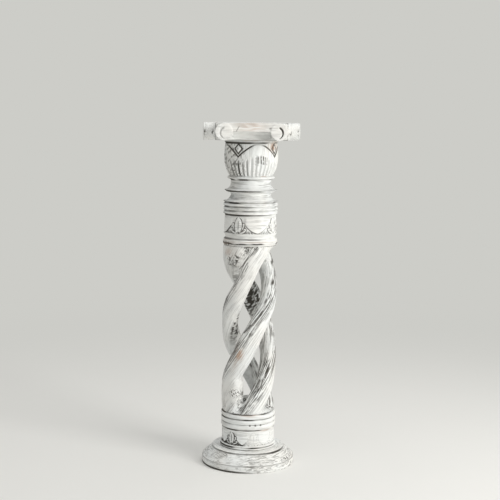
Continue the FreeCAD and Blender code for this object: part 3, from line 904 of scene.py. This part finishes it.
def torus_relief(phi, height, radius):
    """Lift and ink of the cracked torus and the frieze over it."""
    face = radius > FACE_RADIUS
    lift = dents(phi, height, radius, 24, 0.3, 31)
    shade = 0.65 + 0.35 * smoothstep(in_shade(phi), 0.25, 0.75)
    carving, ink = frieze(phi, height, shade=shade, **UPPER_FRIEZE)
    in_band = (height > FRIEZE_BOTTOM + 2) & (height < FRIEZE_TOP) & face
    on_torus = (height < HEAD_Z + 12) & face
    from_crack = height - (HEAD_Z + 6.5 + round_wobble(phi, 14, 33) * 1.2)
    broken = np.clip(0.6 + 0.5 * round_wobble(phi, 9, 34) + 0.5 * (in_shade(phi) > 0.8), 0.2, 1)
    crack = stroke(from_crack, 4.4) * on_torus * broken
    seam = ring_lines(phi, height, [HEAD_Z + 20.0], 3.0, 240) * 0.8
    right_dot = near(phi, *TORUS_DOT) * line(height - HEAD_Z - 4, 7)
    left_end = 1.6 * near(phi, *TORUS_END) * line(height - HEAD_Z - 5, 12)
    left_end = left_end * smoothstep(round_wobble(phi, 60, 45) + (height - HEAD_Z - 5) * 0.1, -0.5, 0.2)
    dark = darkest(crack, seam, right_dot, left_end) * face
    lift = lift + in_band * carving - 1.3 * line(from_crack, 4.0) * on_torus
    return lift, np.maximum(dark, in_band * ink)


def necks_relief(phi, height, radius):
    """Lift and ink of the rings, the two necks, the arris between them and the bead above."""
    lift = dents(phi, height, radius, 22, 0.3, 35)
    tips = [FRIEZE_TOP + HEAD_RING_HEIGHT * (number + 0.5) - 2.6 for number in range(HEAD_RING_COUNT)]
    rings = ring_lines(phi, height, tips, 3.4, 210, (1.1, 0.6, 0.8, 1.2))
    # Painted shadow under the arris and under the bead
    under = ring_lines(phi, height, [ARRIS_Z - 1.8, BEAD_Z - 0.9], 3.4, 220)
    return lift, np.maximum(rings, under) * (radius > NECK_RADIUS - 2)


def from_arch(local, height, radius):
    """How far points of the bell lie above the line of its hanging arches."""
    share = np.abs(local) / ARCH_HALF_TURN
    per_degree = ARCH_DROP * ARCH_POWER / ARCH_HALF_TURN * share ** (ARCH_POWER - 1)
    steep = per_degree / (np.radians(1) * radius)
    return (height - ARCH_TOP + ARCH_DROP * share ** ARCH_POWER) / np.sqrt(1 + steep ** 2)


def flutes(phi, local, height, radius):
    """The bell's upright flutes, 0 to 1, which end under its arches."""
    phase = wrapped(phi - CARVING_TURN - 180.0 / FLUTE_COUNT, 360.0 / FLUTE_COUNT)
    top = FLUTE_TOP + 9.5 * np.cos(np.radians(local * 4)) + 2.5 * round_wobble(phi, 30, 39)
    run = smoothstep(top - height, -1.0, 12.0) * smoothstep(height, BELL_Z - 1, BELL_Z + 3)
    return np.exp(-((np.radians(phase) * radius / FLUTE_HALF_WIDTH) ** 4)) * run


def bell_strokes(phi, height, radius, flute):
    """Dark strokes on the bell: along its flutes and hatched on its left, kept to the shaded left as painted
    shade as well as marks, and like grass at the front.
    """
    x, y = flat(phi, radius)
    along = np.clip(0.7 + round_wobble(phi, 40, 41), 0, 1) * flute * smoothstep(in_shade(phi), 0.5, 0.8)
    hatch = smoothstep(wobble(x * 2, y * 2, height, size=11, seed=43), 0.1, 0.7)
    # Grey hatching on the shaded left, painted shade as well as tool marks
    hatch = hatch * smoothstep(in_shade(phi), 0.58, 0.85) * 0.75
    blades = smoothstep(np.cos(np.radians(phi) * 80 + 2.0 * round_wobble(phi, 30, 42)), -0.1, 0.5)
    uneven = 0.9 + 0.8 * wobble(x, height, size=13, seed=40)
    grass = blades * np.exp(-(((phi - 22) / 15) ** 4)) * np.clip(uneven * line(height - 894, 22) * 1.8, 0, 1)
    return darkest(along, hatch, grass)


def bell_relief(phi, height, radius):
    """Lift and ink of the bell: flutes under hanging arches, with a lozenge between each two."""
    lift = dents(phi, height, radius, 24, 0.25, 37)
    local = wrapped(phi - CARVING_TURN + round_wobble(phi, 6, 38) * 0.8, 2 * ARCH_HALF_TURN)
    above_arch = from_arch(local, height, radius)
    arch = line(above_arch, 5.0) * (0.45 + 0.55 * smoothstep(np.abs(local), 6, 30))
    spandrel = smoothstep(above_arch, 0.5, 3.0)
    from_cusp = np.radians(ARCH_HALF_TURN - np.abs(local)) * radius
    lozenge = np.abs(from_cusp) / LOZENGE_HALF_WIDTH + np.abs(height - LOZENGE_Z) / LOZENGE_HALF_HEIGHT
    from_edge = (lozenge - 1) * 9.0
    flute = flutes(phi, local, height, radius)
    carving = 2.0 * np.clip(1 - lozenge, 0, 1) - 2.2 * line(from_edge, 4.8)
    carving = carving - 2.8 * arch - 1.4 * spandrel - 2.8 * flute
    carving = carving * (1 - smoothstep(height, BELL_TOP - 3, BELL_TOP))
    arch_ink = stroke(above_arch, 4.6) * (0.35 + 0.65 * smoothstep(np.abs(local), 4, 20))
    strokes = bell_strokes(phi, height, radius, flute)
    shading = np.maximum(0.25 * flute, 0.3 * spandrel * in_shade(phi))
    ink = darkest(arch_ink, stroke(from_edge, 4.2), strokes, shading)
    # Dark wash along the bell's rim, and painted shade on the band above it, under the capital
    rim_wash_and_shade = ring_lines(phi, height, [BELL_TOP], 3.6, 230) * 1.2
    rim_wash_and_shade = rim_wash_and_shade + 0.3 * smoothstep(height, BELL_TOP, BELL_TOP + 2)
    in_bell = (height > BELL_Z) & (height < BELL_TOP) & (radius > BELL_FOOT)
    lift = lift + in_bell * carving
    return lift, in_bell * ink + rim_wash_and_shade * (radius > FACE_RADIUS)


def head_rubbed(points):
    torus = spot(points, *WORN_TORUS_END) * 1.4 + spot(points, *WORN_TORUS_EDGE) * 0.35
    return torus + spot(points, *WORN_BELL)


def make_torus_and_frieze():
    outline = Outline(2.0, HEAD_Z)
    outline.to(76.5, HEAD_Z, 15)
    outline.up(14.0, 0.8, swell=2.8, radius=78.2)
    outline.up(6.0, 0.7, swell=1.0, radius=75.0)
    outline.up(1.0, radius=73.4)
    outline.to(76.8, FRIEZE_BOTTOM, 0.8, swell=-2.0)
    outline.to(77.5, FRIEZE_BOTTOM + 2.5, 0.7)
    outline.to(74.5, FRIEZE_TOP, 1.0)
    outline.to(2.0, FRIEZE_TOP, 15)
    piece = turned("carved_head_frieze", outline, torus_relief, level_grain, head_rubbed, columns=720)
    finish_as(piece, "whitewashed_wood", "carved_head", 0.28)


def make_rings_and_necks():
    outline = Outline(2.0, FRIEZE_TOP)
    outline.to(74.0, FRIEZE_TOP, 15)
    outline.up(2.6, 0.7)
    outline.up(3.2, swell=0.2, radius=HEAD_RING_RADIUS)
    for _ in range(HEAD_RING_COUNT - 1):
        outline.up(HEAD_RING_HEIGHT - 4.4, 0.8, swell=1.0, radius=76.0)
        outline.up(1.2, radius=74.4)
        outline.up(3.2, swell=0.2, radius=HEAD_RING_RADIUS)
    outline.to(NECK_RADIUS, HEAD_Z + 144.2, 0.9, swell=-4.5)
    outline.up(6.0, 0.9)
    outline.to(76.2, ARRIS_Z - 0.6, 0.8, swell=1.6)
    outline.up(0.9, radius=76.3)
    outline.to(NECK_RADIUS, HEAD_Z + 176.7, 0.9, swell=-4.5)
    outline.to(NECK_RADIUS + 0.5, BEAD_Z - 1.2, 1.0)
    outline.to(65.4, BEAD_Z + 0.4, 0.8)
    outline.up(7.4, 0.7, swell=3.1)
    outline.to(BELL_FOOT, BELL_Z, 0.8)
    outline.to(2.0, BELL_Z, 15)
    piece = turned("carved_head_necks", outline, necks_relief, level_grain, columns=540)
    finish_as(piece, "whitewashed_wood", "carved_head", 0.4)


def make_bell():
    outline = Outline(2.0, BELL_Z)
    outline.to(BELL_FOOT, BELL_Z, 20)
    outline.to(78.0, BELL_Z + 48.0, 0.95, swell=3.2)
    outline.to(76.5, BELL_TOP - 1.5, 0.95, swell=0.4)
    outline.to(74.8, BELL_TOP - 0.5)
    outline.up(1.2)
    outline.up(0.8, radius=77.5)
    outline.to(77.5, CAPITAL_Z, 1.2)
    outline.to(2.0, CAPITAL_Z, 20)
    piece = turned("carved_head_bell", outline, bell_relief, upright_grain, head_rubbed, columns=760)
    finish_as(piece, "whitewashed_wood", "carved_head")


# Capital

VOLUTE_RADIUS = (TOP_Z - CAPITAL_Z) / 2
VOLUTE_X = CORE_HALF - VOLUTE_RADIUS
VOLUTE_Z = CAPITAL_Z + VOLUTE_RADIUS
BAND_Z = TOP_Z - 24.5
SCROLL_DEPTH = CAPITAL_HALF - CORE_HALF
EYE_INWARD = 7.5
EYE_DROP = 4.5
EYE_RADIUS = 15.0
TURN_INWARD = 5.5
TURN_DROP = 2.5
TURN_RADIUS = 17.8
BELT_DEPTHS = (5.0, 27.0)
COVE_OUT = 11.0
COVE_UP = 15.0
COVE_RADIUS = 16.0

# Marks on each scroll's face, seen from outside: how far right of its middle, and how high
NOTCH_X = -43.0
DARK_SPOT_X = 52.0
DARK_SPOT_Z = TOP_Z - 15.0
RUBBED_X = -2.0
RUBBED_Z = TOP_Z - 10.0


def crescent(x, z):
    """The groove between a volute's eye and the turn round it, 0 to 1."""
    side = np.abs(x)
    eye = np.hypot(side - VOLUTE_X + EYE_INWARD, z - VOLUTE_Z + EYE_DROP) - EYE_RADIUS
    turn = np.hypot(side - VOLUTE_X + TURN_INWARD, z - VOLUTE_Z + TURN_DROP) - TURN_RADIUS
    outward = (side - VOLUTE_X + EYE_INWARD) / (eye + EYE_RADIUS + 1e-6)
    return smoothstep(eye, -0.6, 1.2) * smoothstep(-turn, -0.9, 1.0) * smoothstep(outward, 0.25, 0.6)


def scroll_distance(x, depth, z, seed):
    """A scroll block, seen from outside: x to its right and depth inwards from its face."""
    side = np.abs(x)
    volute = np.hypot(side - VOLUTE_X, z - VOLUTE_Z) - VOLUTE_RADIUS
    band = np.maximum(side - VOLUTE_X, np.maximum(BAND_Z - z, z - TOP_Z))
    outline = smooth_min(volute, band, 1.0)
    in_volute = smoothstep(-volute, -1.0, 1.0)
    face = 3.0 * crescent(x, z) * in_volute + 1.1 * (1 - in_volute)
    face = face + wobble(x, z, size=28, seed=seed) * 0.3
    belts = sum(line(depth - belt, 3.0) for belt in BELT_DEPTHS)
    skin = outline + 0.9 * belts * smoothstep(side, VOLUTE_X - 10, VOLUTE_X)
    skin = skin + wobble(x, depth, z, size=22, seed=seed + 1) * 0.25
    return smooth_max(np.maximum(skin, depth - SCROLL_DEPTH), face - depth, 1.6)


def make_scroll(name, quarter, seed):
    """One scroll block, turned by a number of quarter turns from the front."""
    turn = math.radians(90 * quarter)
    cosine, sine = round(math.cos(turn)), round(math.sin(turn))

    def local(x, y, z):
        return x * cosine + y * sine, CAPITAL_HALF - (x * sine - y * cosine), z

    def distance(x, y, z):
        return scroll_distance(*local(x, y, z), seed)

    def grain(points):
        x, depth, z = local(*points.T)
        return np.stack([depth, z + seed * 100, x], axis=1) * MM

    def ink(points):
        x, depth, z = local(*points.T)
        # Dark wash in the crescent groove, painted stronger on the right volute of each face as painted
        # shade
        groove = crescent(x, z) * smoothstep(-depth, -8, -4) * np.where(x > 0, 1.0, 0.35)
        notch = line(x - NOTCH_X - (z - BAND_Z) * 0.57, 3.0) * smoothstep(z, BAND_Z - 3, BAND_Z)
        notch = notch * (1 - smoothstep(z, BAND_Z + 14, BAND_Z + 18)) * (depth < 3)
        belts = darkest(*(line(depth - belt, width) for belt, width in zip(BELT_DEPTHS, (4.0, 5.0))))
        cuts = smoothstep(wobble(depth, z, x * 0.4, size=8, seed=seed + 2), -0.4, 0.3)
        on_side = line(z - VOLUTE_Z + 2, 17) * smoothstep(np.abs(x), VOLUTE_X, VOLUTE_X + 10)
        belts = np.clip(1.6 * belts, 0, 1) * cuts * on_side
        dark_spot = near(x, DARK_SPOT_X, 4) * near(z, DARK_SPOT_Z, 2.5) * (depth < 4)
        return darkest(groove, 0.7 * notch, belts, dark_spot * 0.8)

    def rubbed(points):
        x, _, z = local(*points.T)
        return 0.55 * near(x, RUBBED_X, 34) * near(z, RUBBED_Z, 14)

    block = carved(f"{name}_carved", name, 1.3, distance, grain, ink, rubbed)
    finish_as(block, "whitewashed_capital", name)


def to_sides(x, y):
    """How far out points lie towards the nearest side of the square, and how far along it."""
    return np.maximum(np.abs(x), np.abs(y)), np.minimum(np.abs(x), np.abs(y))


def core_distance(x, y, z):
    """Outside distance of the capital's core, coved under each side's band."""
    out, along = to_sides(x, y)
    dished = wobble(x, y, size=60, seed=62) * 0.2 + 0.2
    board = np.maximum(out - CORE_HALF, np.maximum(CAPITAL_Z - z, z - TOP_Z + dished))
    cove = np.hypot(out - CORE_HALF - COVE_OUT, z - CAPITAL_Z - COVE_UP) - COVE_RADIUS
    cove = np.maximum(cove, along - VOLUTE_X + VOLUTE_RADIUS - 1)
    return smooth_max(board, -cove, 1.0)


def core_grain(points):
    return points[:, [1, 2, 0]] * MM


def core_painted_shade(points):
    x, y, z = points.T
    out, along = to_sides(x, y)
    # Painted shade in the recess under each band, and in the corners beside the volutes
    recess_shade = smoothstep(out, CORE_HALF - 8, CORE_HALF - 5) * (z < BAND_Z + 1)
    recess_shade = recess_shade * smoothstep(z, CAPITAL_Z + 3.0, CAPITAL_Z + 5.5)
    corner = smoothstep(along, VOLUTE_X + 4, VOLUTE_X + 8) * smoothstep(out, CORE_HALF - 3, CORE_HALF - 1)
    return np.maximum(0.04 * recess_shade, 0.15 * corner)


def make_core():
    core = carved("capital_core_carved", "capital_core", 1.9, core_distance, core_grain, core_painted_shade)
    finish_as(core, "whitewashed_capital", "capital_core")


# Hidden pieces, which keep their CAD shape


def dress_hidden():
    for name, slot in (("scroll_dowels", "dowel_wood"), ("base_screws", "screw_steel")):
        for material_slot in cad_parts[name].material_slots:
            material_slot.material = MATERIALS[slot]


# Studio

STUDIO_RADIUS = 12.0
BACKGROUND = (0.610, 0.610, 0.578)


def make_studio():
    """A pale round floor, which the camera sees pass into the background's colour far out."""
    columns = 96
    turns = [2 * math.pi * column / columns for column in range(columns)]
    points = [(STUDIO_RADIUS * math.cos(turn), STUDIO_RADIUS * math.sin(turn), 0.0) for turn in turns]
    mesh = bpy.data.meshes.new("studio_floor")
    mesh.from_pydata(points, [], [list(range(columns))])
    floor = placed("studio_floor", mesh)
    s = Shader("studio_floor")
    soft = s.noise(s.place, scale=3, detail=2)
    s.dressed(base_color=s.mix(soft, (0.87, 0.865, 0.845), (0.855, 0.85, 0.83)), roughness=0.9)
    distance = s.add_node("ShaderNodeVectorMath", {0: s.place}, operation="LENGTH").outputs["Value"]
    glow = s.add_node("ShaderNodeEmission", {"Color": (*BACKGROUND, 1.0)})
    surface = seen_by_camera(s.tree, s.between(distance, 0.5, 3.0), s.surface, glow)
    feed(s.tree, s.tree.nodes["Material Output"].inputs["Surface"], surface)
    floor.data.materials.append(s.material)


def seen_by_camera(tree, share, usual, shown):
    """Mixes a shader that only the camera sees, by a share, over the usual one."""
    camera_ray = add_node(tree, "ShaderNodeLightPath").outputs["Is Camera Ray"]
    both = add_node(tree, "ShaderNodeMath", {0: camera_ray, 1: share}, operation="MULTIPLY")
    inputs = {0: both.outputs[0], 1: usual.outputs[0], 2: shown.outputs[0]}
    return add_node(tree, "ShaderNodeMixShader", inputs).outputs[0]


def area_lamp(name, place, target, size, power, colour):
    """A lamp at a place, with its width and height in metres, aimed at a target."""
    data = bpy.data.lights.new(name, "AREA")
    data.shape = "RECTANGLE"
    data.size, data.size_y = size
    data.energy = power
    data.color = colour
    lamp = placed(name, data)
    lamp.location = place
    lamp.rotation_mode = "QUATERNION"
    lamp.rotation_quaternion = (Vector(target) - Vector(place)).to_track_quat("-Z", "Y")


def make_light():
    area_lamp("window", (2.6, -2.05, 1.6), (0, 0, 0.6), (1.6, 2.0), 78, (1.0, 0.99, 0.96))
    area_lamp("overhead", (0.0, 0.0, 4.2), (0, 0, 0), (5.0, 5.0), 82, (1.0, 1.0, 0.98))
    world = bpy.data.worlds.new("studio")
    bpy.context.scene.world = world
    world.use_nodes = True
    tree = world.node_tree
    background = tree.nodes["Background"]
    feed(tree, background.inputs["Color"], (1.0, 1.0, 0.97, 1.0))
    feed(tree, background.inputs["Strength"], 0.37)
    shown = add_node(tree, "ShaderNodeBackground", {"Color": (*BACKGROUND, 1.0)})
    surface = seen_by_camera(tree, 1.0, background, shown)
    feed(tree, tree.nodes["World Output"].inputs["Surface"], surface)


# In metres and degrees, with the focal length in the picture's pixels and the sensor in millimetres
CAMERA_DISTANCE = 3.332
CAMERA_HEIGHT = 1.030
CAMERA_TILT = 6.84
CAMERA_ROLL = -0.70
CAMERA_YAW = 0.09
FOCAL_PIXELS = 1150.0
PICTURE_PIXELS = 500.0
SENSOR = 36.0


def make_camera():
    data = bpy.data.cameras.new("camera")
    data.sensor_width = SENSOR
    data.lens = SENSOR * FOCAL_PIXELS / PICTURE_PIXELS
    camera = placed("camera", data)
    camera.location = (0, -CAMERA_DISTANCE, CAMERA_HEIGHT)
    camera.rotation_euler = [math.radians(turn) for turn in (90 - CAMERA_TILT, CAMERA_ROLL, CAMERA_YAW)]
    bpy.context.scene.camera = camera
    bpy.context.scene.view_settings.view_transform = "Standard"


make_camera()
make_studio()
make_light()
make_base()
make_foot()
make_twist()
make_torus_and_frieze()
make_rings_and_necks()
make_bell()
make_core()
for number, scroll_name in enumerate(("scroll_front", "scroll_right", "scroll_back", "scroll_left")):
    make_scroll(scroll_name, number, 70 + number * 5)
dress_hidden()
